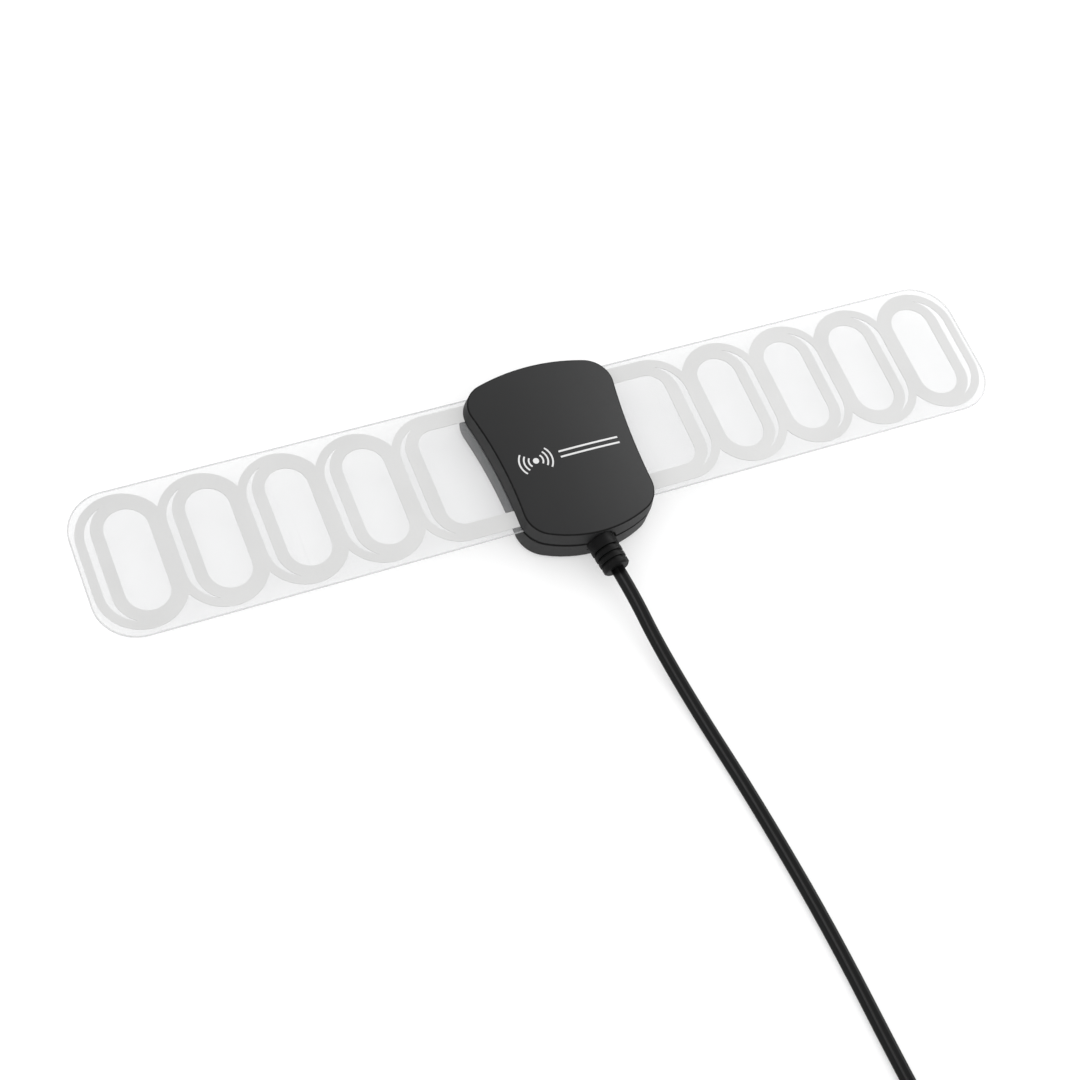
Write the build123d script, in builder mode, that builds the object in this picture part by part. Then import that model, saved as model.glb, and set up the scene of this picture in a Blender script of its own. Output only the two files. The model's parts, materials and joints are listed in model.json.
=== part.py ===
from build123d import *
import os
from math import cos, radians, sin, tan

# A flat television antenna: a clear film strip printed with looped conductors, a small amplifier
# housing clamped across its middle, and a flat twin cord that ends in an aerial plug and a USB plug.
# X runs along the film, the cord leaves towards -Y, Z is up and z = 0 is what the pad lies on.
# The origin is the middle of the adhesive pad's lower face, under the middle of the film.

os.makedirs("parts", exist_ok=True)

# ---- film and printed conductors ----
film_length = 344.0
film_width = 55.0
film_thickness = 0.5
film_corner = 15.0
ink_thickness = 0.1
loop_width = 31.2
loop_edge = 2.0              # from the film's long edge to the loops
loop_pitch = 27.9
loop_margin = 1.7            # from the film's end to the first loop
loop_count = 4               # closed loops on each side, before the open one
hole_width = 15.2
hole_height = 38.3
hole_shift = 1.8             # the hole sits this much nearer the housing than its loop
outer_line = 3.1             # width of the line outside the crescent slit
inner_line = 4.25            # width of the line between the crescent slit and the hole
open_line = 5.0              # width of the open loop's upright line
arm_width = 6.3
arm_corner = 6.5
arm_end = 9.5                # the arms stop this far from the middle

# ---- housing ----
far_y = 31.9                 # middle of the far edge
far_corner_x = 30.2
far_corner_y = 26.2
near_y = -38.9               # middle of the cord edge
near_corner_x = 25.6
near_corner_y = -30.6
waist = 2.1                  # how far the sides draw in
far_radius = 10.5
near_radius = 11.0
wall = 2.0
base_bottom = 0.5            # the pad holds the base this far off the surface
base_depth = 8.5
base_floor = 2.0
base_edge = 0.8
cover_side = 6.2             # height of the cover's upright side
cover_crown = 1.5            # rise of its top from edge to middle
cover_top = 1.5
cover_inset = 0.9            # the side leans in by this much
cover_edge = 0.6
seam_gap = 0.7
lip_thickness = 0.9
lip_rise = 2.0
lip_gap = 0.2

# ---- fixings ----
boss_radius = 3.0
screw_radius = 1.1
screw_grip = 1.9             # how far a screw reaches into the cover
screw_head_radius = 2.0
screw_head_height = 1.4
far_boss = (20.8, 8.0)
near_boss = (15.5, -30.5)
fit_gap = 0.1
film_hole_gap = 0.4

# ---- adhesive pad ----
pad_gap = 1.1                # between the pad's pocket and the screw heads
pad_width = 44.0
pad_thickness = 1.0
pad_corner = 4.0

# ---- circuit board ----
board_gap = 0.8              # between the board and the bosses beside it
board_near_gap = 1.5
board_far_gap = 2.8
board_thickness = 1.2
board_corner = 1.5
post_radius = 2.2
post_height = 1.0
stake_radius = 0.9
stake_rise = 0.5
stake_places = [(14.3, 12.0), (-14.3, 12.0), (14.3, -12.0), (-14.3, -12.0)]
contact_x = 13.0
rivet_radius = 1.0
rivet_flange = 1.8
rivet_flange_height = 0.3
spring_width = 3.0
spring_thickness = 0.25
spring_length = 5.0

# ---- parts on the board ----
can_width = 20.0
can_length = 15.0
can_height = 3.2
can_wall = 0.3
can_corner = 0.8
can_vent = 0.6               # radius of the vent holes
can_y = 1.5
chip_lift = 0.12             # gap between the board and a chip that stands on legs
amplifier_size = (3.9, 4.9, 1.5)
amplifier_places = [(-4.5, 1.5)]
filter_size = (3.8, 3.8, 1.3)
filter_places = [(4.5, 4.0)]
inductor_size = (2.0, 2.5, 1.6)
inductor_places = [(4.5, -1.5), (-11.5, -4.0), (11.5, -4.0)]
regulator_size = (4.4, 3.0, 1.5)
regulator_places = [(6.5, -18.0)]
small_capacitor_size = (0.8, 1.6, 0.8)
small_capacitor_places = [
    (-8.0, 6.5), (8.0, -4.0), (-12.5, 3.0), (12.5, 3.0),
    (-6.5, 16.5), (6.5, 16.5), (3.0, -12.0), (7.0, -21.8),
]
resistor_size = (0.8, 1.6, 0.5)
resistor_places = [(0.0, 6.5), (0.0, -4.0), (12.5, 7.5), (-12.5, 7.5), (5.5, -12.0)]
capacitor_radius = 2.0
capacitor_height = 3.9
capacitor_foot = 0.5
capacitor_places = [(-7.5, -12.5), (-7.5, -18.0)]
core_place = (0.0, 16.5)
core_outer = 3.0
core_inner = 1.5
core_height = 1.8
winding_turns = 8
wire_radius = 0.15
wire_gap = 0.05
sheath_x = -2.0
sheath_radius = 1.3
core_wire = 0.4
power_wire = 0.6
clip_y = -22.6
clip_wall = 0.3
clip_length = 2.0
clip_foot = 1.5

# ---- strain relief and cord ----
exit_turn = 7.0              # the boot leans this many degrees towards +X
hole_gap = 0.3
recess_gap = 0.7
recess_depth = 0.9
neck_radius = 4.0
flange_radius = 5.0
flange_length = 1.5
flange_play = 0.6
boot_radius = 5.2
boot_groove = 4.1
boot_length = 11.6
boot_round = 0.6
rib_starts = [4.6, 7.2, 9.6]
rib_taper = 0.1              # each rib is this much smaller than the last
groove_width = 1.0
cord_width = 5.0
cord_height = 2.8
coil_centre = (-16.0, -296.0)
coil_middle = 29.0           # radius at the middle of the turns
coil_columns = 7
coil_layers = 2
turn_pitch = 3.0
tie_width = 4.0
tie_thickness = 0.6
tie_gap = 0.15
tie_slack = 0.35
tie_angle = 60.0
aerial_lead = 3.0
power_lead = 2.2
split_length = 18.0
splitter_wall = 0.8
lead_gap = 3.6               # between the two leads' middles
lead_start_z = 1.6

# ---- plugs ----
aerial_axis = 6.0            # height of the aerial plug's axis
aerial_body_radius = 6.0
aerial_relief = 12.0
aerial_body = 34.0
relief_rings = 4
grip_count = 20
grip_groove = 0.6
grip_length = 13.0
grip_end = 3.0
plug_round = 0.6
sleeve_radius = 4.76
sleeve_wall = 0.6
sleeve_length = 10.0
pin_radius = 1.2
usb_axis = 4.1
usb_body_width = 15.6
usb_body_height = 8.2
usb_relief = 9.0
usb_body = 22.0
usb_width = 12.0
usb_height = 4.5
usb_length = 12.0
usb_wall = 0.3
usb_ribs = 5
usb_rib_pitch = 2.4
usb_window = 2.1
usb_window_pitch = 5.0
usb_contact_pitch = 2.25
usb_contact_rise = 0.15
tongue_thickness = 1.7

# ---- sizes and heights that follow from these ----
loop_height = film_width - 2 * loop_edge
recess_radius = boot_radius + recess_gap
hole_radius = neck_radius + hole_gap
pad_length = 2 * (far_boss[0] - screw_head_radius - 2 * fit_gap - pad_gap)
board_width = 2 * (far_boss[0] - boss_radius - board_gap)
board_near_y = near_boss[1] + boss_radius + board_near_gap
board_far_y = far_y - wall - lip_gap - lip_thickness - board_far_gap
screw_length = base_depth - screw_head_height + screw_grip
rim_z = base_bottom + base_depth                 # top of the base wall, where the film lies
film_top = rim_z + film_thickness
ink_top = film_top + ink_thickness
seam_top = rim_z + seam_gap                      # lower edge of the cover
cover_z = seam_top + cover_side + cover_crown    # highest point of the cover
floor_z = base_bottom + base_floor
board_z = floor_z + post_height
board_top = board_z + board_thickness
crown_middle = (far_y + near_y) / 2
crown_reach_x = (far_corner_x + near_corner_x) / 2
crown_reach_y = (far_y - near_y) / 2
crown_radius_x = crown_reach_x**2 / (2 * cover_crown)
crown_radius_y = crown_reach_y**2 / (2 * cover_crown)
boss_places = [(side * x, y) for x, y in (far_boss, near_boss) for side in (-1, 1)]
arm_y = loop_height / 2 - arm_width / 2
contact_places = [(i * contact_x, j * arm_y) for i in (-1, 1) for j in (-1, 1)]
exit_point = Vector(0, near_y, rim_z)
exit_way = Vector(sin(radians(exit_turn)), -cos(radians(exit_turn)), 0)


def finish(piece, name):
    """Labels a finished piece and writes it to its own file."""
    piece.part.label = name
    export_step(piece.part, f"parts/{name}.step")


def housing_outline(inset=0.0):
    """Draws the housing's shield-shaped outline, moved inwards by inset, into the open sketch."""
    waist_x = (far_corner_x + near_corner_x) / 2 - waist
    waist_y = (far_corner_y + near_corner_y) / 2
    far_left, far_right = (-far_corner_x, far_corner_y), (far_corner_x, far_corner_y)
    near_left, near_right = (-near_corner_x, near_corner_y), (near_corner_x, near_corner_y)
    with BuildSketch(mode=Mode.PRIVATE) as shield:
        with BuildLine():
            ThreePointArc(far_left, (0, far_y), far_right)
            ThreePointArc(far_right, (waist_x, waist_y), near_right)
            ThreePointArc(near_right, (0, near_y), near_left)
            ThreePointArc(near_left, (-waist_x, waist_y), far_left)
        make_face()
        if inset:
            offset(amount=-inset, kind=Kind.INTERSECTION)
        fillet(shield.vertices().group_by(Axis.Y)[0], near_radius - inset)
        fillet(shield.vertices().group_by(Axis.Y)[-1], far_radius - inset)
    add(shield.sketch_local)


def under_crown(height):
    """The space below a surface domed both ways, whose highest point is at height."""
    start = 10.0
    depth = 2 * height
    axis_point = (0, crown_middle, height - crown_radius_y)
    start_plane = Plane(axis_point, x_dir=(1, 0, 0), z_dir=(0, -cos(radians(start)), sin(radians(start))))
    reach = 1.4 * crown_reach_x
    drop = reach**2 / (2 * crown_radius_x)
    with BuildPart() as dome:
        with BuildSketch(start_plane):
            with BuildLine():
                arc = ThreePointArc(
                    (-reach, crown_radius_y - drop), (0, crown_radius_y), (reach, crown_radius_y - drop)
                )
                Polyline(
                    arc @ 1, (reach, crown_radius_y - depth), (-reach, crown_radius_y - depth), arc @ 0
                )
            make_face()
        revolve(axis=Axis(axis_point, (1, 0, 0)), revolution_arc=2 * start)
    return dome.part


def inner_ceiling(x, y):
    """Height of the cover's inner face above a point of the plan."""
    drop_x = x**2 / (2 * crown_radius_x)
    drop_y = (y - crown_middle) ** 2 / (2 * crown_radius_y)
    return cover_z - cover_top - drop_x - drop_y


def boot_cuts():
    """Cuts the boot's hole and the wider recess in front of it out of the open part."""
    wall_face = Plane(exit_point, z_dir=exit_way)
    with BuildSketch(wall_face.offset(-2 * wall)) as hole:
        Circle(hole_radius)
    extrude(hole.sketch, amount=4 * wall, mode=Mode.SUBTRACT)
    with BuildSketch(wall_face.offset(-recess_depth)) as recess:
        Circle(recess_radius)
    extrude(recess.sketch, amount=3 * wall, mode=Mode.SUBTRACT)


# ---- lip of the base: it stands inside the cover's wall, at the two ends that the film leaves free ----
with BuildPart() as lip:
    with BuildSketch(Plane.XY.offset(rim_z - 2 * lip_rise)):
        housing_outline(wall - lip_gap)
    extrude(amount=2 * lip_rise)
    with BuildSketch(Plane.XY.offset(rim_z)):
        housing_outline(wall + lip_gap)
    extrude(amount=lip_rise)
    with BuildSketch(Plane.XY.offset(rim_z - 2 * lip_rise)):
        housing_outline(wall + lip_gap + lip_thickness)
    extrude(amount=3 * lip_rise, mode=Mode.SUBTRACT)
    Box(4 * far_corner_x, film_width + 2 * film_hole_gap, 4 * rim_z, mode=Mode.SUBTRACT)
    with Locations((0, near_y, rim_z)):
        Box(2 * (flange_radius + wall), 5 * wall, 4 * lip_rise, mode=Mode.SUBTRACT)
    with BuildSketch(Plane.XY.offset(rim_z)):
        with Locations(*boss_places):
            Circle(boss_radius + lip_gap)
    extrude(amount=2 * lip_rise, mode=Mode.SUBTRACT)

# ---- base shell: a tray with screw bosses, board posts and a lip that lines up the cover ----
with BuildPart() as base_shell:
    with BuildSketch(Plane.XY.offset(base_bottom)):
        housing_outline()
    extrude(amount=base_depth)
    chamfer(base_shell.faces().sort_by(Axis.Z)[0].edges(), base_edge)
    with BuildSketch(Plane.XY.offset(floor_z)):
        housing_outline(wall)
    extrude(amount=base_depth, mode=Mode.SUBTRACT)
    with BuildSketch(Plane.XY.offset(floor_z - base_floor / 2)):
        with Locations(*boss_places):
            Circle(boss_radius)
    extrude(amount=rim_z - floor_z + base_floor / 2)
    with BuildSketch(Plane.XY.offset(floor_z - base_floor / 2)):
        with Locations(*stake_places):
            Circle(post_radius)
    extrude(amount=post_height + base_floor / 2)
    with BuildSketch(Plane.XY.offset(board_z - post_height / 2)):
        with Locations(*stake_places):
            Circle(stake_radius)
    extrude(amount=board_thickness + stake_rise + post_height / 2)
    add(lip.part)
    boot_cuts()
    with Locations(*[Location((x, y, base_bottom), (180, 0, 0)) for x, y in boss_places]):
        CounterBoreHole(
            screw_radius + fit_gap, screw_head_radius + 2 * fit_gap, screw_head_height + fit_gap,
            depth=2 * base_depth,
        )
    with BuildSketch(Plane.XY.offset(base_bottom)):
        RectangleRounded(pad_length + 2 * fit_gap, pad_width + 2 * fit_gap, pad_corner + fit_gap)
    extrude(amount=pad_thickness - base_bottom, mode=Mode.SUBTRACT)
finish(base_shell, "base_shell")

# ---- top cover: a domed lid with bosses that reach through the film and posts over the contacts ----
outer_dome = under_crown(cover_z)
inner_dome = under_crown(cover_z - cover_top)
with BuildPart() as cavity:
    with BuildSketch(Plane.XY.offset(seam_top)):
        housing_outline(wall)
    with BuildSketch(Plane.XY.offset(cover_z)):
        housing_outline(wall + cover_inset)
    loft()
    add(inner_dome, mode=Mode.INTERSECT)
with BuildPart() as top_cover:
    with BuildSketch(Plane.XY.offset(seam_top)):
        housing_outline()
    with BuildSketch(Plane.XY.offset(cover_z)):
        housing_outline(cover_inset)
    loft()
    add(outer_dome, mode=Mode.INTERSECT)
    fillet(top_cover.faces().sort_by(Axis.Z)[-1].edges(), cover_edge)
    add(cavity.part, mode=Mode.SUBTRACT)
    boot_cuts()
    for x, y in boss_places:
        with BuildSketch(Plane.XY.offset(rim_z)):
            with Locations((x, y)):
                Circle(boss_radius - fit_gap)
        extrude(amount=inner_ceiling(x, y) - rim_z + cover_top / 2)
    for x, y in contact_places:
        with BuildSketch(Plane.XY.offset(ink_top + rivet_flange_height)):
            with Locations((x, y)):
                Circle(rivet_flange)
        extrude(amount=inner_ceiling(x, y) - ink_top - rivet_flange_height + cover_top / 2)
    with BuildSketch(Plane.XY.offset(rim_z)):
        with Locations(*boss_places):
            Circle(screw_radius + fit_gap / 2)
    extrude(amount=base_bottom + screw_head_height + screw_length - rim_z + fit_gap, mode=Mode.SUBTRACT)
finish(top_cover, "top_cover")

# ---- housing screws, driven from below ----
with BuildPart() as housing_screws:
    head_z = base_bottom
    with BuildSketch(Plane.XY.offset(head_z)):
        with Locations(*boss_places):
            Circle(screw_head_radius)
    extrude(amount=screw_head_height)
    with BuildSketch(Plane.XY.offset(head_z + screw_head_height)):
        with Locations(*boss_places):
            Circle(screw_radius)
    extrude(amount=screw_length)
    chamfer(housing_screws.faces().sort_by(Axis.Z)[-4:].edges(), screw_radius / 2)
    for turn in (0, 90):
        with BuildSketch(Plane.XY.offset(head_z)):
            with Locations(*boss_places):
                Rectangle(1.3 * screw_head_radius, 0.3 * screw_head_radius, rotation=turn)
        extrude(amount=screw_head_height / 2, mode=Mode.SUBTRACT)
finish(housing_screws, "housing_screws")

# ---- adhesive pad under the base ----
with BuildPart() as adhesive_pad:
    with BuildSketch():
        RectangleRounded(pad_length, pad_width, pad_corner)
    extrude(amount=pad_thickness)
finish(adhesive_pad, "adhesive_pad")

# ---- film: one clear sheet, punched for the bosses and the rivets ----
with BuildPart() as film_sheet:
    with BuildSketch(Plane.XY.offset(rim_z)):
        RectangleRounded(film_length, film_width, film_corner)
        with Locations(*boss_places):
            Circle(boss_radius + film_hole_gap, mode=Mode.SUBTRACT)
        with Locations(*contact_places):
            Circle(rivet_radius + fit_gap / 2, mode=Mode.SUBTRACT)
    extrude(amount=film_thickness)
finish(film_sheet, "film_sheet")


def crescent(x, hole_x):
    """Cuts the slit between a loop's outer line and its ring, on the side away from the housing."""
    with BuildSketch(mode=Mode.PRIVATE) as slit:
        with Locations((x, 0)):
            SlotOverall(loop_height - 2 * outer_line, loop_width - 2 * outer_line, rotation=90)
        with Locations((hole_x, 0)):
            SlotOverall(
                hole_height + 2 * inner_line, hole_width + 2 * inner_line, rotation=90, mode=Mode.SUBTRACT
            )
    add(slit.sketch_local, mode=Mode.SUBTRACT)


def printed_element(name, side):
    """One side's conductors: closed loops and, next to the housing, a loop whose two arms run inside."""
    first_x = film_length / 2 - loop_margin - loop_width / 2
    loop_places = [side * (first_x - k * loop_pitch) for k in range(loop_count)]
    open_x = first_x - loop_count * loop_pitch
    ring_edge = open_x - hole_shift + hole_width / 2 + inner_line
    window_edge = ring_edge - open_line
    window_length = window_edge + arm_corner
    with BuildPart() as element:
        with BuildSketch(Plane.XY.offset(film_top)):
            with Locations(*[(x, 0) for x in loop_places + [side * open_x]]):
                SlotOverall(loop_height, loop_width, rotation=90)
            with Locations((side * open_x / 2, 0)):
                Rectangle(open_x, loop_height)
            for x in loop_places:
                with Locations((x - side * hole_shift, 0)):
                    SlotOverall(hole_height, hole_width, rotation=90, mode=Mode.SUBTRACT)
            for x in loop_places + [side * open_x]:
                crescent(x, x - side * hole_shift)
            with Locations((side * (window_edge - window_length / 2), 0)):
                RectangleRounded(window_length, loop_height - 2 * arm_width, arm_corner, mode=Mode.SUBTRACT)
            Rectangle(2 * arm_end, film_width, mode=Mode.SUBTRACT)
            with Locations(*boss_places):
                Circle(boss_radius + film_hole_gap, mode=Mode.SUBTRACT)
            with Locations(*contact_places):
                Circle(rivet_radius + fit_gap / 2, mode=Mode.SUBTRACT)
        extrude(amount=ink_thickness)
    finish(element, name)


printed_element("left_element", -1)
printed_element("right_element", 1)

# ---- circuit board ----
board_length = board_far_y - board_near_y
board_middle = (board_far_y + board_near_y) / 2
with BuildPart() as amplifier_board:
    with BuildSketch(Plane.XY.offset(board_z)):
        with Locations((0, board_middle)):
            RectangleRounded(board_width, board_length, board_corner)
        with Locations(*stake_places):
            Circle(stake_radius + fit_gap, mode=Mode.SUBTRACT)
    extrude(amount=board_thickness)
finish(amplifier_board, "amplifier_board")

# ---- contacts: rivets through the film, pressed by the cover's posts onto leaf springs ----
with BuildPart() as contact_rivets:
    for z, radius, height in (
        (rim_z - rivet_flange_height, rivet_flange, rivet_flange_height),
        (rim_z, rivet_radius, ink_top - rim_z),
        (ink_top, rivet_flange, rivet_flange_height),
    ):
        with BuildSketch(Plane.XY.offset(z)):
            with Locations(*contact_places):
                Circle(radius)
        extrude(amount=height)
finish(contact_rivets, "contact_rivets")

spring_top = rim_z - rivet_flange_height
spring_rise = spring_top - board_top
with BuildPart() as contact_springs:
    with BuildSketch(Plane.XZ) as leaf:
        with BuildLine():
            Polyline(
                (spring_length / 2, spring_thickness / 2),
                (-spring_length / 2, spring_thickness / 2),
                (spring_length / 2, spring_rise / 2),
                (-spring_length / 4, spring_rise - spring_thickness / 2),
                (spring_length / 2, spring_rise - spring_thickness / 2),
            )
            offset(amount=spring_thickness / 2, side=Side.BOTH)
        make_face()
    for x, y in contact_places:
        turned = Plane((x, y + spring_width / 2, board_top))
        extrude(leaf.sketch.moved(turned.location), amount=spring_width, dir=(0, -1, 0))
finish(contact_springs, "contact_springs")

# ---- parts on the board ----
with BuildPart() as shield_can:
    with BuildSketch(Plane.XY.offset(board_top)):
        with Locations((0, can_y)):
            RectangleRounded(can_width, can_length, can_corner)
    extrude(amount=can_height)
    with BuildSketch(Plane.XY.offset(board_top)):
        with Locations((0, can_y)):
            RectangleRounded(can_width - 2 * can_wall, can_length - 2 * can_wall, can_corner - can_wall)
    extrude(amount=can_height - can_wall, mode=Mode.SUBTRACT)
    with BuildSketch(Plane.XY.offset(board_top + can_height - 2 * can_wall)):
        with Locations((0, can_y)):
            with GridLocations(can_width / 5, can_length / 4, 4, 3):
                Circle(can_vent)
    extrude(amount=3 * can_wall, mode=Mode.SUBTRACT)
finish(shield_can, "shield_can")


def chip(name, places, size, leg_count=0, leg_side=0.0):
    """Surface-mounted blocks of one size, with flat legs along two sides where they have any."""
    width, length, height = size
    lift = chip_lift if leg_count else 0.0
    with BuildPart() as chips:
        with BuildSketch(Plane.XY.offset(board_top + lift)):
            with Locations(*places):
                Rectangle(width, length)
        extrude(amount=height - lift)
        chamfer(chips.faces().group_by(Axis.Z)[-1].edges(), 0.1 * height)
        if leg_count:
            for x, y in places:
                for side in (-1, 1):
                    with BuildSketch(Plane.XY.offset(board_top)):
                        with Locations((x + side * (width + leg_side) / 2, y)):
                            with GridLocations(0, 0.8 * length / leg_count, 1, leg_count):
                                Rectangle(leg_side, 0.35 * length / leg_count)
                    extrude(amount=height / 2)
    finish(chips, name)


chip("amplifier_chip", amplifier_places, amplifier_size, leg_count=4, leg_side=1.0)
chip("band_filter", filter_places, filter_size)
chip("chip_inductors", inductor_places, inductor_size)
chip("voltage_regulator", regulator_places, regulator_size, leg_count=2, leg_side=0.9)
chip("chip_capacitors", small_capacitor_places, small_capacitor_size)
chip("chip_resistors", resistor_places, resistor_size)

with BuildPart() as electrolytic_capacitors:
    with BuildSketch(Plane.XY.offset(board_top)):
        with Locations(*capacitor_places):
            Rectangle(2.15 * capacitor_radius, 2.15 * capacitor_radius)
    extrude(amount=capacitor_foot)
    with BuildSketch(Plane.XY.offset(board_top + capacitor_foot)):
        with Locations(*capacitor_places):
            Circle(capacitor_radius)
    extrude(amount=capacitor_height - capacitor_foot)
    fillet(electrolytic_capacitors.faces().group_by(Axis.Z)[-1].edges(), 0.15 * capacitor_radius)
finish(electrolytic_capacitors, "electrolytic_capacitors")

# a ring core with its winding joins the two arms to the amplifier
core_z = board_top + 2 * wire_radius + 2 * wire_gap
with BuildPart() as balun_core:
    with BuildSketch(Plane.XY.offset(core_z)):
        with Locations(core_place):
            Circle(core_outer)
            Circle(core_inner, mode=Mode.SUBTRACT)
    extrude(amount=core_height)
finish(balun_core, "balun_core")

with BuildPart() as balun_winding:
    inner_width = core_outer - core_inner + 2 * wire_gap
    inner_height = core_height + 2 * wire_gap
    for turn in range(winding_turns):
        angle = radians(360 * turn / winding_turns)
        turn_centre = (*core_place, core_z + core_height / 2)
        radial = Plane(turn_centre, x_dir=(cos(angle), sin(angle), 0), z_dir=(sin(angle), -cos(angle), 0))
        with BuildSketch(radial):
            with Locations(((core_outer + core_inner) / 2, 0)):
                Rectangle(inner_width + 4 * wire_radius, inner_height + 4 * wire_radius)
                Rectangle(inner_width, inner_height, mode=Mode.SUBTRACT)
        extrude(amount=wire_radius, both=True)
finish(balun_winding, "balun_winding")

# ---- strain relief: turned about the way out, its flange held behind the housing wall ----
flange_gap = flange_radius * sin(radians(exit_turn)) + flange_play
flange_start = -(wall + flange_gap + flange_length)
neck_start = -(wall + flange_gap)
collar_start = -0.7 * recess_depth
boot_points = [
    (flange_start, 0),
    (flange_start, flange_radius),
    (neck_start, flange_radius),
    (neck_start, neck_radius),
    (collar_start, neck_radius),
    (collar_start, boot_radius),
]
for rib, start in enumerate(rib_starts):
    boot_points += [
        (start - groove_width, boot_radius - rib * rib_taper),
        (start - groove_width, boot_groove),
        (start, boot_groove),
        (start, boot_radius - (rib + 1) * rib_taper),
    ]
boot_points += [
    (boot_length - boot_round, boot_radius - len(rib_starts) * rib_taper),
    (boot_length, boot_radius - len(rib_starts) * rib_taper - boot_round),
    (boot_length, 0),
]
boot_side = Plane(exit_point, x_dir=exit_way, z_dir=(0, 0, 1))
with BuildPart() as strain_relief_boot:
    with BuildSketch(boot_side):
        with BuildLine():
            Polyline(*boot_points, close=True)
        make_face()
    revolve(axis=Axis(exit_point, exit_way))
finish(strain_relief_boot, "strain_relief_boot")


def lay(name, points, section, ease=0.45):
    """Sweeps a cord's section along straight runs joined by arcs as large as the runs allow."""
    points = [Vector(*p) for p in points]
    radii = []
    for before, here, after in zip(points, points[1:], points[2:]):
        turn = (here - before).get_angle(after - here)
        short = min((here - before).length, (after - here).length)
        radii.append(ease * short / tan(radians(turn / 2)))
    with BuildPart() as tube:
        with BuildLine() as path:
            FilletPolyline(*points, radius=radii)
        way = points[1] - points[0]
        start = Plane(points[0], x_dir=way.cross(Vector(0, 0, 1)), z_dir=way)
        with BuildSketch(start) as face:
            section()
        sweep(path=path.wires()[0])
    length = path.wires()[0].length
    print(name, "radii", [round(r) for r in radii], "length", round(length, 1),
          "volume", round(tube.part.volume), "of", round(length * face.sketch.area))
    finish(tube, name)


def flat_cord():
    SlotOverall(cord_width, cord_height)


def round_lead(radius):
    return lambda: Circle(radius)


cord_rest = cord_height / 2
boot_end = exit_point + exit_way * boot_length
cord_route = [
    boot_end,
    boot_end + exit_way * 11,
    (4.9, -79.0, 5.2),
    (8.3, -106.0, cord_rest),
    (12.6, -142.0, cord_rest),
    (17.6, -190.0, cord_rest),
    (22.0, -241.0, cord_rest),
    (24.85, -285.5, 2.5),
]
lay("cord_run", cord_route, flat_cord)

# ---- the put-away length: a round coil, tied ----
coil_x, coil_y = coil_centre
coil_width = coil_columns * turn_pitch
coil_low = tie_thickness + tie_gap
coil_height = coil_layers * cord_width
with BuildPart() as cord_coil:
    with BuildSketch(Plane((coil_x, coil_y, 0), x_dir=(1, 0, 0), z_dir=(0, -1, 0))):
        with Locations((coil_middle, coil_low + coil_height / 2)):
            RectangleRounded(coil_width, coil_height, cord_height / 2)
    revolve(axis=Axis((coil_x, coil_y, 0), (0, 0, 1)))
finish(cord_coil, "cord_coil")

tie_way = (cos(radians(tie_angle)), sin(radians(tie_angle)), 0)
tie_side = (sin(radians(tie_angle)), -cos(radians(tie_angle)), 0)
with BuildPart() as cord_tie:
    with BuildSketch(Plane((coil_x, coil_y, 0), x_dir=tie_way, z_dir=tie_side)):
        with Locations((coil_middle, coil_low + coil_height / 2)):
            RectangleRounded(
                coil_width + 2 * (tie_slack + tie_thickness),
                coil_height + 2 * (tie_gap + tie_thickness),
                cord_height / 2,
            )
            RectangleRounded(
                coil_width + 2 * tie_slack,
                coil_height + 2 * tie_gap,
                cord_height / 2 - tie_thickness,
                mode=Mode.SUBTRACT,
            )
    extrude(amount=tie_width / 2, both=True)
finish(cord_tie, "cord_tie")

# ---- the cord leaves the coil and divides into its two leads ----
split_start = Vector(-88.0, -301.5, cord_rest)
split_way = Vector(-1, 0.1, 0).normalized()
split_side = Vector(0, 0, 1).cross(split_way)
leave_route = [
    (-53.5, -314.9, 6.4),
    (-64.0, -309.0, 4.0),
    split_start - split_way * 12,
    split_start,
]
lay("cord_leave", leave_route, flat_cord)

split_end = split_start + split_way * split_length
splitter_sections = [
    (0.0, cord_width + 2 * splitter_wall, cord_height + splitter_wall),
    (0.35, lead_gap + aerial_lead + 2.5 * splitter_wall, cord_height + 2 * splitter_wall),
    (1.0, lead_gap + aerial_lead + 1.75 * splitter_wall, aerial_lead + 1.25 * splitter_wall),
]
with BuildPart() as cord_splitter:
    for along, width, height in splitter_sections:
        centre = split_start + split_way * (along * split_length)
        with BuildSketch(Plane(Vector(centre.X, centre.Y, height / 2), x_dir=split_side, z_dir=split_way)):
            SlotOverall(width, height)
    loft(ruled=True)
finish(cord_splitter, "cord_splitter")

lead_lift = Vector(0, 0, lead_start_z - cord_rest)
aerial_start = split_end + split_side * (lead_gap / 2) + lead_lift
power_start = split_end - split_side * (lead_gap / 2) + lead_lift
plug_way = Vector(-1, 0, 0)
plug_side = Vector(0, 1, 0)
aerial_plug = Vector(-128.0, -244.0, aerial_axis)
usb_plug = Vector(-125.0, -222.0, usb_axis)

aerial_route = [
    aerial_start,
    aerial_start + split_way * 35,
    (-141.0, -271.0, aerial_lead / 2),
    (-97.0, -271.0, aerial_lead / 2),
    (-97.0, -244.0, aerial_lead / 2),
    aerial_plug - plug_way * 9,
    aerial_plug,
]
lay("aerial_lead", aerial_route, round_lead(aerial_lead / 2))

power_route = [
    power_start,
    power_start + split_way * 28,
    (-134.0, -277.0, power_lead / 2),
    (-90.0, -277.0, power_lead / 2),
    (-90.0, -222.0, power_lead / 2),
    usb_plug - plug_way * 8,
    usb_plug,
]
lay("power_lead", power_route, round_lead(power_lead / 2))

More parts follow.
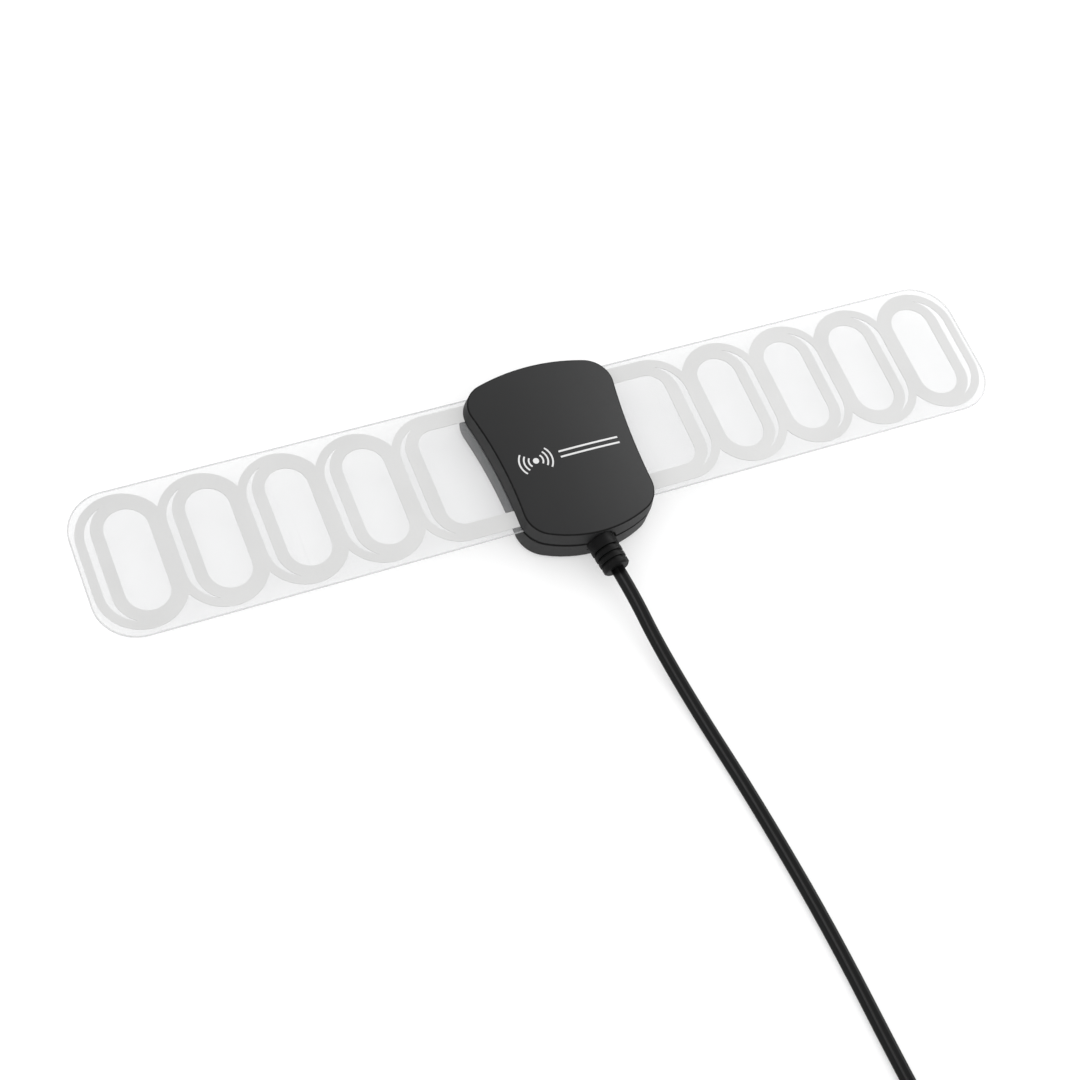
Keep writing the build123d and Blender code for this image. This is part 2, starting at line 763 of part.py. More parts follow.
# ---- aerial plug: moulded body, outer sleeve, insulator and pin ----
aerial_front = aerial_plug + plug_way * aerial_body
with BuildPart() as aerial_plug_body:
    with BuildSketch(Plane(aerial_plug, x_dir=plug_way, z_dir=(0, 0, 1))):
        with BuildLine():
            Polyline(
                (0, 0),
                (0, 0.75 * aerial_lead),
                (aerial_relief, aerial_lead),
                (aerial_relief + 3 * plug_round, aerial_body_radius - plug_round),
                (aerial_relief + 4 * plug_round, aerial_body_radius),
                (aerial_body - plug_round, aerial_body_radius),
                (aerial_body, aerial_body_radius - plug_round),
                (aerial_body, 0),
                close=True,
            )
        make_face()
    revolve(axis=Axis(aerial_plug, plug_way))
    for ring in range(relief_rings):
        along = aerial_relief * (ring + 0.7) / (relief_rings + 0.4)
        with BuildSketch(Plane(aerial_plug + plug_way * along, z_dir=plug_way)):
            Circle(aerial_lead)
            Circle(0.62 * aerial_lead, mode=Mode.SUBTRACT)
        extrude(amount=0.3 * aerial_lead, mode=Mode.SUBTRACT)
    with BuildSketch(Plane(aerial_plug + plug_way * (aerial_body - grip_end - grip_length), z_dir=plug_way)):
        with PolarLocations(aerial_body_radius + 0.6 * grip_groove, grip_count):
            Circle(grip_groove)
    extrude(amount=grip_length, mode=Mode.SUBTRACT)
finish(aerial_plug_body, "aerial_plug_body")

front_face = Plane(aerial_front, z_dir=plug_way)
with BuildPart() as aerial_plug_sleeve:
    with BuildSketch(front_face):
        Circle(sleeve_radius)
        Circle(sleeve_radius - sleeve_wall, mode=Mode.SUBTRACT)
    extrude(amount=sleeve_length)
    chamfer(aerial_plug_sleeve.faces().sort_by(Axis(aerial_front, plug_way))[-1].edges(), sleeve_wall / 3)
finish(aerial_plug_sleeve, "aerial_plug_sleeve")

with BuildPart() as aerial_plug_insulator:
    with BuildSketch(front_face):
        Circle(sleeve_radius - sleeve_wall)
        Circle(pin_radius, mode=Mode.SUBTRACT)
    extrude(amount=0.3 * sleeve_length)
finish(aerial_plug_insulator, "aerial_plug_insulator")

with BuildPart() as aerial_plug_pin:
    with BuildSketch(front_face):
        Circle(pin_radius)
    extrude(amount=sleeve_length - 0.5)
    fillet(aerial_plug_pin.faces().sort_by(Axis(aerial_front, plug_way))[-1].edges(), 0.7 * pin_radius)
finish(aerial_plug_pin, "aerial_plug_pin")

# ---- USB plug: moulded body, folded shell, tongue and four contacts ----
usb_front = usb_plug + plug_way * (usb_relief + usb_body)
with BuildPart() as usb_plug_body:
    with BuildSketch(Plane(usb_plug, x_dir=plug_side, z_dir=plug_way)):
        Circle(0.85 * power_lead)
    with BuildSketch(Plane(usb_plug + plug_way * usb_relief, x_dir=plug_side, z_dir=plug_way)):
        Circle(1.25 * power_lead)
    loft()
    with BuildSketch(Plane(usb_plug + plug_way * usb_relief, x_dir=plug_side, z_dir=plug_way)):
        RectangleRounded(usb_body_width, usb_body_height, 0.2 * usb_body_height)
    extrude(amount=usb_body)
    chamfer(usb_plug_body.faces().sort_by(Axis(usb_plug, plug_way))[-1].edges(), plug_round)
    grip_middle = usb_plug + plug_way * (usb_relief + usb_body / 2)
    for side in (-1, 1):
        with Locations(grip_middle + Vector(0, 0, side * usb_body_height / 2)):
            with GridLocations(usb_rib_pitch, 0, usb_ribs, 1):
                Box(0.4 * usb_rib_pitch, 0.55 * usb_body_width, plug_round, mode=Mode.SUBTRACT)
finish(usb_plug_body, "usb_plug_body")

usb_face = Plane(usb_front, x_dir=plug_side, z_dir=plug_way)
with BuildPart() as usb_shell:
    with BuildSketch(usb_face):
        RectangleRounded(usb_width, usb_height, 2 * usb_wall)
        RectangleRounded(usb_width - 2 * usb_wall, usb_height - 2 * usb_wall, usb_wall, mode=Mode.SUBTRACT)
    extrude(amount=usb_length)
    with Locations(usb_front + plug_way * (0.6 * usb_length)):
        with GridLocations(0, usb_window_pitch, 1, 2):
            Box(usb_window, usb_window, 2 * usb_height, mode=Mode.SUBTRACT)
finish(usb_shell, "usb_shell")

tongue_z = usb_axis - usb_height / 2 + usb_wall + tongue_thickness / 2
with BuildPart() as usb_tongue:
    with BuildSketch(Plane((usb_front.X, usb_front.Y, tongue_z), x_dir=plug_side, z_dir=plug_way)):
        Rectangle(usb_width - 4 * usb_wall, tongue_thickness)
    extrude(amount=0.95 * usb_length)
finish(usb_tongue, "usb_tongue")

with BuildPart() as usb_contacts:
    contact_middle = usb_front + plug_way * (0.45 * usb_length)
    with BuildSketch(Plane.XY.offset(tongue_z + tongue_thickness / 2)):
        with Locations((contact_middle.X, contact_middle.Y)):
            with GridLocations(0, usb_contact_pitch, 1, 4):
                Rectangle(0.75 * usb_length, 0.45 * usb_contact_pitch)
    extrude(amount=usb_contact_rise)
finish(usb_contacts, "usb_contacts")

# ---- leads inside the housing, from the boot's inner face down to the board ----
inner_start = exit_point + exit_way * flange_start
lead_side = Vector(cos(radians(exit_turn)), sin(radians(exit_turn)), 0)
sheath_rest = board_top + sheath_radius + fit_gap / 2
sheath_end = Vector(sheath_x, -20.5, sheath_rest)


def inner_lead(name, offset_side, points, radius):
    """One insulated lead from the boot's inner face along the given points."""
    start = inner_start + lead_side * offset_side
    lay(name, [start, start - exit_way * 2.2] + points, round_lead(radius))


wire_rest = board_top + power_wire
core_rest = board_top + core_wire
sheath_points = [(sheath_x, -28.6, 6.9), (sheath_x, -24.6, sheath_rest), sheath_end]
red_points = [(2.6, -28.6, 6.6), (3.0, -25.2, wire_rest), (3.2, -21.8, wire_rest)]
black_points = [(4.6, -28.6, 6.6), (5.0, -25.6, wire_rest), (5.2, -22.6, wire_rest)]
core_points = [
    sheath_end,
    sheath_end + Vector(0, 1.8, 0),
    (sheath_x, -16.9, core_rest),
    (sheath_x, -15.0, core_rest),
]
inner_lead("coax_tail", -1.3, sheath_points, sheath_radius)
inner_lead("red_power_wire", 1.1, red_points, power_wire)
inner_lead("black_power_wire", 2.6, black_points, power_wire)
lay("coax_core", core_points, round_lead(core_wire))

with BuildPart() as coax_ground_clip:
    with BuildSketch(Plane((sheath_x, clip_y, board_top), x_dir=(1, 0, 0), z_dir=(0, -1, 0))):
        arch = sheath_radius + fit_gap
        with Locations((0, arch)):
            Circle(arch + clip_wall)
        with Locations((0, arch / 2)):
            Rectangle(2 * (arch + clip_wall), arch)
        with Locations((0, clip_wall / 2)):
            Rectangle(2 * (arch + clip_foot), clip_wall)
        with Locations((0, arch)):
            Circle(arch, mode=Mode.SUBTRACT)
        with Locations((0, arch / 2)):
            Rectangle(2 * arch, arch, mode=Mode.SUBTRACT)
        with Locations((0, -arch)):
            Rectangle(6 * arch, 2 * arch, mode=Mode.SUBTRACT)
    extrude(amount=clip_length / 2, both=True)
finish(coax_ground_clip, "coax_ground_clip")
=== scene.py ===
import json
import math

import bmesh
import bpy
from mathutils import Matrix, Vector


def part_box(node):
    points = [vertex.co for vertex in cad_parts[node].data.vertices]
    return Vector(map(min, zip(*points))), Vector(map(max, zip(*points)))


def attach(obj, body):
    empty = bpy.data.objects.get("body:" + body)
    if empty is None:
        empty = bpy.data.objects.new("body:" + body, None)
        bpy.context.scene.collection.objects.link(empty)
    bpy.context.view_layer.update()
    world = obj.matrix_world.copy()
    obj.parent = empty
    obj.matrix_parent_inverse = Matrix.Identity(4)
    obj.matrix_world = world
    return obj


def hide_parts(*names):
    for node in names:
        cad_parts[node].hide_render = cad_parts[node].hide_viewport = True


MM = 0.001
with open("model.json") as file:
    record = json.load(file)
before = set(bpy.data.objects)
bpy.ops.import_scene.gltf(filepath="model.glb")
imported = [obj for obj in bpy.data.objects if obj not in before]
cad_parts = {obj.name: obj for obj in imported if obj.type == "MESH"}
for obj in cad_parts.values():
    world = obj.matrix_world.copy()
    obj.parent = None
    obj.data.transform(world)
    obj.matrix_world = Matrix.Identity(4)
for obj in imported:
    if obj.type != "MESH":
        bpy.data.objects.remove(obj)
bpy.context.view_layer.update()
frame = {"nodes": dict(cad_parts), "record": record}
nodes = frame["nodes"]
scene = bpy.context.scene


def to_metres(points):
    return [Vector(p) * MM for p in points]


# ---- camera, solved from the film's outline ----
FILM_Z = 9.3                             # height of the film's underside, mm
CAMERA_PLACE = (-250.965, -291.556, 598.697 + FILM_Z)
RIGHT, UP, AHEAD = (0.9079, -0.3753, 0.1868), (0.2548, 0.8477, 0.4652), (0.3330, 0.3748, -0.8653)
camera_data = bpy.data.cameras.new("camera")
camera_data.lens = 67.02
camera_data.sensor_width = 36
camera_data.clip_start = 0.01
camera = bpy.data.objects.new("camera", camera_data)
turn = Matrix((RIGHT, UP, [-a for a in AHEAD])).transposed()
camera.matrix_world = Matrix.Translation(Vector(CAMERA_PLACE) * MM) @ turn.to_4x4()
scene.collection.objects.link(camera)
scene.camera = camera


# ---- the flat twin cord: the route, the coil's turns and the way out, as one spline ----
WIDTH, HEIGHT = 5.0, 2.8                 # the cord's section, mm
WEB_SHARE = 0.86                         # thickness of the web between the leads, as a share of a lead's
GROOVE_DEPTH = GROOVE_HALF_WIDTH = 0.55  # the groove down the middle, mm
COIL_X, COIL_Y = -16.0, -296.0
TURN_RADII = [38, 35, 32, 29, 26, 23, 20]
LOW_Z, HIGH_Z = 3.25, 8.25               # middle heights of the two layers of turns
JOIN_ANGLE, JOG, LEAVE_ANGLE = -10.0, 40.0, -125.0
TURN_POINTS = 14
CLIMB_INSET = 2.8                        # how far inside the innermost turn the cord climbs, mm
BOOT_ROOT, BOOT_LENGTH = (0, -38.9, 9.0), 11.6
EXIT_ANGLE = math.radians(7)
STRAIGHT_OUT = 11                        # the cord's first stretch, in line with the boot, mm

exit_dir = Vector((math.sin(EXIT_ANGLE), -math.cos(EXIT_ANGLE), 0))
boot_end = Vector(BOOT_ROOT) + exit_dir * BOOT_LENGTH
run_points = [
    boot_end,
    boot_end + exit_dir * STRAIGHT_OUT,
    (4.9, -79.0, 5.2),
    (9.6, -106.0, 1.4),
    (15.0, -142.0, 1.4),
    (20.0, -190.0, 1.4),
    (22.0, -241.0, 1.4),
    (24.85, -285.5, 2.5),
]


def on_coil(angle, radius, z):
    a = math.radians(angle)
    return (COIL_X + radius * math.cos(a), COIL_Y + radius * math.sin(a), z)


def coil_points():
    """Turns that lie beside each other, inwards on the lower layer and outwards on the upper one."""
    points = []
    step = (360.0 - JOG) / (TURN_POINTS - 2)
    angle = JOIN_ANGLE
    for z, radii in ((LOW_Z, TURN_RADII), (HIGH_Z, TURN_RADII[::-1])):
        for count, radius in enumerate(radii):
            last = count == len(radii) - 1
            stop = 360.0 - JOG
            if last and z == HIGH_Z:
                stop = (JOIN_ANGLE - LEAVE_ANGLE) % 360.0
            climbs = last and z == LOW_Z
            if climbs:
                stop -= JOG
            k = 0
            while k * step <= stop + 0.1:
                points.append(on_coil(angle - k * step, radius, z))
                k += 1
            if climbs:
                for along, risen in ((0.3, 0.0), (0.5, 0.5), (0.7, 1.0)):
                    middle = LOW_Z + (HIGH_Z - LOW_Z) * risen
                    points.append(on_coil(angle - stop - 2 * JOG * along, radius - CLIMB_INSET, middle))
            angle -= 360.0
    return points


leave_dir = Vector((-1, 0.1, 0)).normalized()
split_start = Vector((-88.0, -301.5, 1.4))
STRAIGHT_IN = 12                         # the cord's last stretch, in line with the splitter, mm
leave_points = [
    (-53.5, -314.9, 6.4),
    (-64.0, -309.0, 4.0),
    split_start - leave_dir * STRAIGHT_IN,
    split_start,
]


def spline_object(name, points, resolution):
    """A curve object with one NURBS spline whose control points are the route's."""
    curve = bpy.data.curves.new(name, "CURVE")
    curve.dimensions = "3D"
    curve.resolution_u = resolution
    spline = curve.splines.new("NURBS")
    spline.points.add(len(points) - 1)
    for point, place in zip(spline.points, points):
        point.co = (*place, 1.0)
    spline.order_u = 3
    spline.use_endpoint_u = True
    return bpy.data.objects.new(name, curve)


def read_line(points, resolution):
    """The spline's own line, as points."""
    guide = spline_object("guide", points, resolution)
    mesh = bpy.data.meshes.new_from_object(guide)
    line = [v.co.copy() for v in mesh.vertices]
    bpy.data.meshes.remove(mesh)
    curve = guide.data
    bpy.data.objects.remove(guide)
    bpy.data.curves.remove(curve)
    return line


def new_object(name, mesh):
    obj = bpy.data.objects.new(name, mesh)
    scene.collection.objects.link(obj)
    return obj


def twin_section(count):
    """The outline of two round leads moulded side by side with a groove between them, in mm."""
    lobe = HEIGHT / 2
    offset = WIDTH / 2 - lobe
    web = WEB_SHARE * lobe
    outline = []
    for k in range(count):
        a = 2 * math.pi * k / count
        y = math.cos(a) * WIDTH / 2
        inside = abs(y) - offset
        z = math.sqrt(max(lobe * lobe - inside * inside, 0.0))
        z = max(z, web) if abs(y) < offset else z
        z -= GROOVE_DEPTH * max(0.0, 1.0 - abs(y) / GROOVE_HALF_WIDTH)
        outline.append((y, math.copysign(z, math.sin(a)) if abs(math.sin(a)) > 1e-6 else 0.0))
    return outline


def swept(name, line, section, roll_at=None):
    """Sweeps a section in mm along line.

    roll_at gives the section's turn about the line, from the length so far, the whole length and the
    height in mm.
    """
    verts, faces, lengths = [], [], [0.0]
    for a, b in zip(line, line[1:]):
        lengths.append(lengths[-1] + (b - a).length)
    for i, centre in enumerate(line):
        way = (line[min(i + 1, len(line) - 1)] - line[max(i - 1, 0)]).normalized()
        side = way.cross(Vector((0, 0, 1))).normalized()
        over = side.cross(way)
        roll = roll_at(lengths[i], lengths[-1], centre.z / MM) if roll_at else 0.0
        for y, z in section:
            across = y * math.cos(roll) - z * math.sin(roll)
            above = y * math.sin(roll) + z * math.cos(roll)
            verts.append(centre + (side * across + over * above) * MM)
    n = len(section)
    for i in range(len(line) - 1):
        for k in range(n):
            a, b = i * n + k, i * n + (k + 1) % n
            faces.append((a, b, b + n, a + n))
    faces.append(tuple(range(n))[::-1])
    faces.append(tuple(range((len(line) - 1) * n, len(line) * n)))
    mesh = bpy.data.meshes.new(name)
    mesh.from_pydata(verts, [], faces)
    mesh.shade_smooth()
    mesh.update()
    return new_object(name, mesh)


RUN_LENGTH, LEAVE_LENGTH = 0.240, 0.066  # the stretches before and after the coil, metres
TWIST = 0.045                            # the length over which the cord turns on edge, metres


def cord_roll(at, total, height):
    """0 where the cord lies flat, and a quarter turn on edge in the coil, but never into the floor."""
    into = (at - RUN_LENGTH + TWIST) / TWIST
    out = (total - LEAVE_LENGTH + TWIST - at) / TWIST
    share = max(0.0, min(1.0, into, out))
    flat, edge = HEIGHT / 2, WIDTH / 2
    rise = max(0.0, min(1.0, (height ** 2 - flat ** 2) / (edge ** 2 - flat ** 2)))
    return min(math.pi / 2 * share * share * (3 - 2 * share), math.asin(math.sqrt(rise)))


cord_line = read_line(to_metres(run_points + coil_points() + leave_points), 6)
cord = swept("twin_cord", cord_line, twin_section(36), cord_roll)
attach(cord, "root")
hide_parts("cord_run", "cord_coil", "cord_leave")

SPLITTER_LENGTH = 18
LEAD_OFFSET = 1.8                        # from the splitter's middle to each lead, mm
LEAD_LIFT = Vector((0, 0, 0.2))
split_end = split_start + leave_dir * SPLITTER_LENGTH
across = Vector((0, 0, 1)).cross(leave_dir)
aerial_start = split_end + across * LEAD_OFFSET + LEAD_LIFT
power_start = split_end - across * LEAD_OFFSET + LEAD_LIFT
aerial_points = [
    aerial_start,
    aerial_start + leave_dir * 35,
    (-141.0, -271.0, 1.5),
    (-97.0, -271.0, 1.5),
    (-97.0, -244.0, 1.5),
    (-119.0, -244.0, 6.0),
    (-128.0, -244.0, 6.0),
]
power_points = [
    power_start,
    power_start + leave_dir * 28,
    (-134.0, -277.0, 1.1),
    (-90.0, -277.0, 1.1),
    (-90.0, -222.0, 1.1),
    (-117.0, -222.0, 4.1),
    (-125.0, -222.0, 4.1),
]


LEAD_SIDES = 20


def round_lead(name, points, diameter):
    """A round lead from the splitter to its plug."""
    line = read_line(to_metres(points), 10)
    angles = [2 * math.pi * k / LEAD_SIDES for k in range(LEAD_SIDES)]
    obj = swept(name, line, [(diameter / 2 * math.cos(a), diameter / 2 * math.sin(a)) for a in angles])
    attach(obj, "root")
    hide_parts(name.replace("_cord", "_lead"))
    return obj


aerial_cord = round_lead(
    "aerial_cord", aerial_points, 3.0,
)
power_cord = round_lead(
    "power_cord", power_points, 2.2
)

# ---- a plain printed mark on the cover: a dot between arcs, and two rules ----
CROWN_Z, CROWN_Y = 17.4, -3.5            # the top of the cover's dome, mm
CROWN_RADIUS_X, CROWN_RADIUS_Y = 259.5, 417.7
PAINT_LIFT = 0.03                        # half the paint's thickness, mm


def crown(x, y, lift):
    """A point on the cover's domed top, lift mm above it."""
    drop = x * x / (2 * CROWN_RADIUS_X) + (y - CROWN_Y) ** 2 / (2 * CROWN_RADIUS_Y)
    return Vector((x, y, CROWN_Z - drop + lift)) * MM


def strip(mesh, points, width):
    """A thin line of paint along points on the cover."""
    rows = []
    for i, (x, y) in enumerate(points):
        ahead, behind = points[min(i + 1, len(points) - 1)], points[max(i - 1, 0)]
        way = Vector((ahead[0] - behind[0], ahead[1] - behind[1])).normalized() * (width / 2)
        rim = [(x - way.y, y + way.x), (x + way.y, y - way.x)]
        corners = [(rim[0], PAINT_LIFT), (rim[1], PAINT_LIFT), (rim[1], -PAINT_LIFT), (rim[0], -PAINT_LIFT)]
        rows.append([mesh.verts.new(crown(*place, lift)) for place, lift in corners])
    for a, b in zip(rows, rows[1:]):
        for k in range(4):
            mesh.faces.new((a[k], a[(k + 1) % 4], b[(k + 1) % 4], b[k]))
    mesh.faces.new(rows[0][::-1])
    mesh.faces.new(rows[-1])


def arc(x, y, radius, start, stop, count=20):
    angles = [math.radians(start + (stop - start) * k / count) for k in range(count + 1)]
    return [(x + radius * math.cos(a), y + radius * math.sin(a)) for a in angles]


def rule(y, left, right, count=16):
    return [(left + (right - left) * k / count, y) for k in range(count + 1)]


MARK_X, MARK_Y = -13.0, -6.4
DOT_RADIUS = 1.1
ARC_RADII, ARC_HALF_ANGLE, ARC_WIDTH = (2.6, 4.3, 6.0), 40, 0.6
RULE_PLACES, RULE_LEFT, RULE_RIGHT, RULE_WIDTH = (-5.3, -7.5), -4.0, 19.0, 0.7

mark_mesh = bmesh.new()
strip(mark_mesh, arc(MARK_X, MARK_Y, DOT_RADIUS / 2, 0, 360, 28), DOT_RADIUS)
for radius in ARC_RADII:
    for middle in (0, 180):
        ends = middle - ARC_HALF_ANGLE, middle + ARC_HALF_ANGLE
        strip(mark_mesh, arc(MARK_X, MARK_Y, radius, *ends), ARC_WIDTH)
for y in RULE_PLACES:
    strip(mark_mesh, rule(y, RULE_LEFT, RULE_RIGHT), RULE_WIDTH)
bmesh.ops.recalc_face_normals(mark_mesh, faces=mark_mesh.faces)
mark_data = bpy.data.meshes.new("cover_mark")
mark_mesh.to_mesh(mark_data)
mark_mesh.free()
mark = new_object("cover_mark", mark_data)
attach(mark, "root")


# ---- materials ----
def material(name):
    """A new node material, with its node tree and its shader."""
    mat = bpy.data.materials.new(name)
    mat.use_nodes = True
    return mat, mat.node_tree, mat.node_tree.nodes["Principled BSDF"]


def add(tree, kind, inputs=None, **settings):
    """A new node. An input is either a value or the socket that feeds it."""
    node = tree.nodes.new(kind)
    for key, value in settings.items():
        setattr(node, key, value)
    for key, value in (inputs or {}).items():
        if isinstance(value, bpy.types.NodeSocket):
            tree.links.new(value, node.inputs[key])
        else:
            node.inputs[key].default_value = value
    return node


def object_place(tree):
    return add(tree, "ShaderNodeTexCoord").outputs["Object"]


def noise(tree, scale, detail=4.0, stretch=None):
    """Noise over the object's own coordinates, in metres. stretch squeezes it along an axis."""
    place = object_place(tree)
    if stretch:
        place = add(tree, "ShaderNodeVectorMath", {0: place, 1: stretch}, operation="MULTIPLY").outputs[0]
    inputs = {"Vector": place, "Scale": scale, "Detail": detail, "Roughness": 0.55}
    return add(tree, "ShaderNodeTexNoise", inputs).outputs["Fac"]


def ramp(tree, fac, stops):
    """A colour ramp over stops of (position, colour)."""
    node = add(tree, "ShaderNodeValToRGB", {"Fac": fac})
    points = node.color_ramp.elements
    while len(points) < len(stops):
        points.new(0.5)
    for point, (at, colour) in zip(points, stops):
        point.position = at
        point.color = (*colour, 1)
    return node.outputs["Color"]


def grey(value):
    return (value, value, value)


def math_node(tree, operation, a, b=0.0, clamp=False):
    return add(tree, "ShaderNodeMath", {0: a, 1: b}, operation=operation, use_clamp=clamp).outputs[0]


def bump(tree, shader, height, strength, distance):
    """Chains another bump below the shader's normal."""
    inputs = {"Height": height, "Strength": strength, "Distance": distance}
    if shader.inputs["Normal"].is_linked:
        inputs["Normal"] = shader.inputs["Normal"].links[0].from_socket
    node = add(tree, "ShaderNodeBump", inputs)
    tree.links.new(node.outputs["Normal"], shader.inputs["Normal"])


def shade(colour, factor):
    return tuple(min(1.0, c * factor) for c in colour)


def moulded(name, colour, rough, grain=9000.0, depth=0.00002, strength=0.25, spread=0.12, gloss=0.5):
    """Moulded plastic or rubber: fine grain, soft blotches in its colour and gloss."""
    mat, tree, shader = material(name)
    blotch = noise(tree, 60.0, 3.0)
    colours = [(0.3, shade(colour, 1 - spread)), (0.7, shade(colour, 1 + spread))]
    tree.links.new(ramp(tree, blotch, colours), shader.inputs["Base Color"])
    fine = noise(tree, grain, 2.0)
    finish = ramp(tree, noise(tree, 700.0, 3.0), [(0.3, grey(rough - 0.05)), (0.7, grey(rough + 0.06))])
    tree.links.new(finish, shader.inputs["Roughness"])
    bump(tree, shader, fine, strength, depth)
    shader.inputs["Specular IOR Level"].default_value = gloss
    return mat


def metal(name, colour, rough, stretch=(1, 1, 1), grain=3000.0, strength=0.15, spread=0.1):
    """Drawn or plated metal: fine lines along one way, with faint tarnish."""
    mat, tree, shader = material(name)
    shader.inputs["Metallic"].default_value = 1.0
    tarnish = noise(tree, 300.0, 4.0)
    colours = [(0.35, shade(colour, 1 - 2 * spread)), (0.65, colour)]
    tree.links.new(ramp(tree, tarnish, colours), shader.inputs["Base Color"])
    lines = noise(tree, grain, 2.0, stretch=stretch)
    finish = ramp(tree, lines, [(0.3, grey(rough * 0.8)), (0.7, grey(rough * 1.3))])
    tree.links.new(finish, shader.inputs["Roughness"])
    bump(tree, shader, lines, strength, 0.00001)
    return mat


def clad_board():
    """Green solder mask, lighter over the copper fields than in the lines between them."""
    mat, tree, shader = material("solder_mask")
    inputs = {"Vector": object_place(tree), "Scale": 420.0}
    cells = add(tree, "ShaderNodeTexVoronoi", inputs, distance="MANHATTAN", feature="DISTANCE_TO_EDGE")
    edge = cells.outputs["Distance"]
    tracks = ramp(tree, edge, [(0.03, (0.010, 0.085, 0.035)), (0.06, (0.022, 0.16, 0.065))])
    tree.links.new(tracks, shader.inputs["Base Color"])
    finish = ramp(tree, noise(tree, 500.0), [(0.3, grey(0.22)), (0.7, grey(0.34))])
    tree.links.new(finish, shader.inputs["Roughness"])
    bump(tree, shader, edge, 0.2, 0.00003)
    return mat


def fade(tree, value, start, stop, below=1.0, above=0.0):
    """Goes from one number to another as value goes from start to stop."""
    return add(tree, "ShaderNodeMapRange", {0: value, 1: start, 2: stop, 3: below, 4: above}).outputs[0]


def levelness(tree):
    """1 on level faces and 0 on upright ones."""
    normal = add(tree, "ShaderNodeTexCoord").outputs["Normal"]
    return math_node(tree, "ABSOLUTE", add(tree, "ShaderNodeSeparateXYZ", {0: normal}).outputs["Z"])


def mix_colour(tree, fac, a, b, blend="MIX"):
    node = add(tree, "ShaderNodeMix", data_type="RGBA", blend_type=blend)
    sockets = [s for s in node.inputs if s.enabled]
    for socket, value in zip(sockets, (fac, a, b)):
        if isinstance(value, bpy.types.NodeSocket):
            tree.links.new(value, socket)
        else:
            socket.default_value = value if isinstance(value, float) else (*value, 1)
    return [s for s in node.outputs if s.enabled][0]


SEAM_Z = 9.35 * MM                       # where the two shells meet


def seam_shade_band(tree):
    """1 in a band along the shut line, where shade is painted in, and 0 further from it."""
    z = add(tree, "ShaderNodeSeparateXYZ", {0: object_place(tree)}).outputs["Z"]
    away = math_node(tree, "ABSOLUTE", math_node(tree, "SUBTRACT", z, SEAM_Z))
    return fade(tree, away, 0.55 * MM, 0.85 * MM)


def housing_plastic(name, top_colour, crease_shade_colour, side_colour):
    """Smooth satin on a shell's level face, with painted shade darkening its crease and its shut line, and
    spark grain on its upright band.
    """
    mat, tree, shader = material(name)
    level = levelness(tree)
    side = fade(tree, level, 0.25, 0.4)
    # painted shade: the fillet between the level face and the upright band gets a darker colour, standing in
    # for its shading
    crease = fade(tree, level, 0.90, 0.99)
    seam_shade = seam_shade_band(tree)
    speck = noise(tree, 5200.0, 2.0)

    top = ramp(tree, noise(tree, 45.0, 2.0), [(0.3, shade(top_colour, 0.92)), (0.7, shade(top_colour, 1.08))])
    band = ramp(tree, speck, [(0.3, shade(side_colour, 0.75)), (0.7, shade(side_colour, 1.25))])
    outer = mix_colour(tree, side, mix_colour(tree, crease, top, crease_shade_colour), band)
    # painted shade: the band along the shut line is coloured near-black, standing in for the shadow in the
    # gap between the shells
    tree.links.new(mix_colour(tree, seam_shade, outer, grey(0.0012)), shader.inputs["Base Color"])

    smooth_rough = ramp(tree, noise(tree, 900.0, 3.0), [(0.3, grey(0.40)), (0.7, grey(0.47))])
    band_rough = ramp(tree, speck, [(0.3, grey(0.52)), (0.7, grey(0.64))])
    finish = mix_colour(tree, side, smooth_rough, band_rough)
    top_crease = math_node(tree, "MULTIPLY", crease, math_node(tree, "SUBTRACT", 1.0, side))
    dull = math_node(tree, "MAXIMUM", seam_shade, top_crease)
    tree.links.new(mix_colour(tree, dull, finish, grey(0.95)), shader.inputs["Roughness"])

    shader.inputs["Specular IOR Level"].default_value = 0.33
    bump(tree, shader, noise(tree, 9000.0, 2.0), 0.08, 0.00002)
    bump(tree, shader, math_node(tree, "MULTIPLY", speck, side), 0.35, 0.00006)
    return mat


FILM_CORNER = 15 * MM
# width of the painted edge shading along the film's outline: full, then faded out
EDGE_LINE, EDGE_FADE = 0.25 * MM, 0.6 * MM


def film_inset(tree):
    """How far inside the film's rounded outline a point lies, in metres."""
    low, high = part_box("film_sheet")
    place = add(tree, "ShaderNodeSeparateXYZ", {0: object_place(tree)}).outputs
    past = []
    for axis in (0, 1):
        from_middle = math_node(tree, "SUBTRACT", place[axis], (low[axis] + high[axis]) / 2)
        flat_half = (high[axis] - low[axis]) / 2 - FILM_CORNER
        past.append(math_node(tree, "SUBTRACT", math_node(tree, "ABSOLUTE", from_middle), flat_half))
    outside = [math_node(tree, "MAXIMUM", p, 0.0) for p in past]
    squares = math_node(tree, "ADD", *[math_node(tree, "MULTIPLY", p, p) for p in outside])
    inside = math_node(tree, "MINIMUM", math_node(tree, "MAXIMUM", *past), 0.0)
    reach = math_node(tree, "ADD", math_node(tree, "SQRT", squares), inside)
    return math_node(tree, "SUBTRACT", FILM_CORNER, reach)


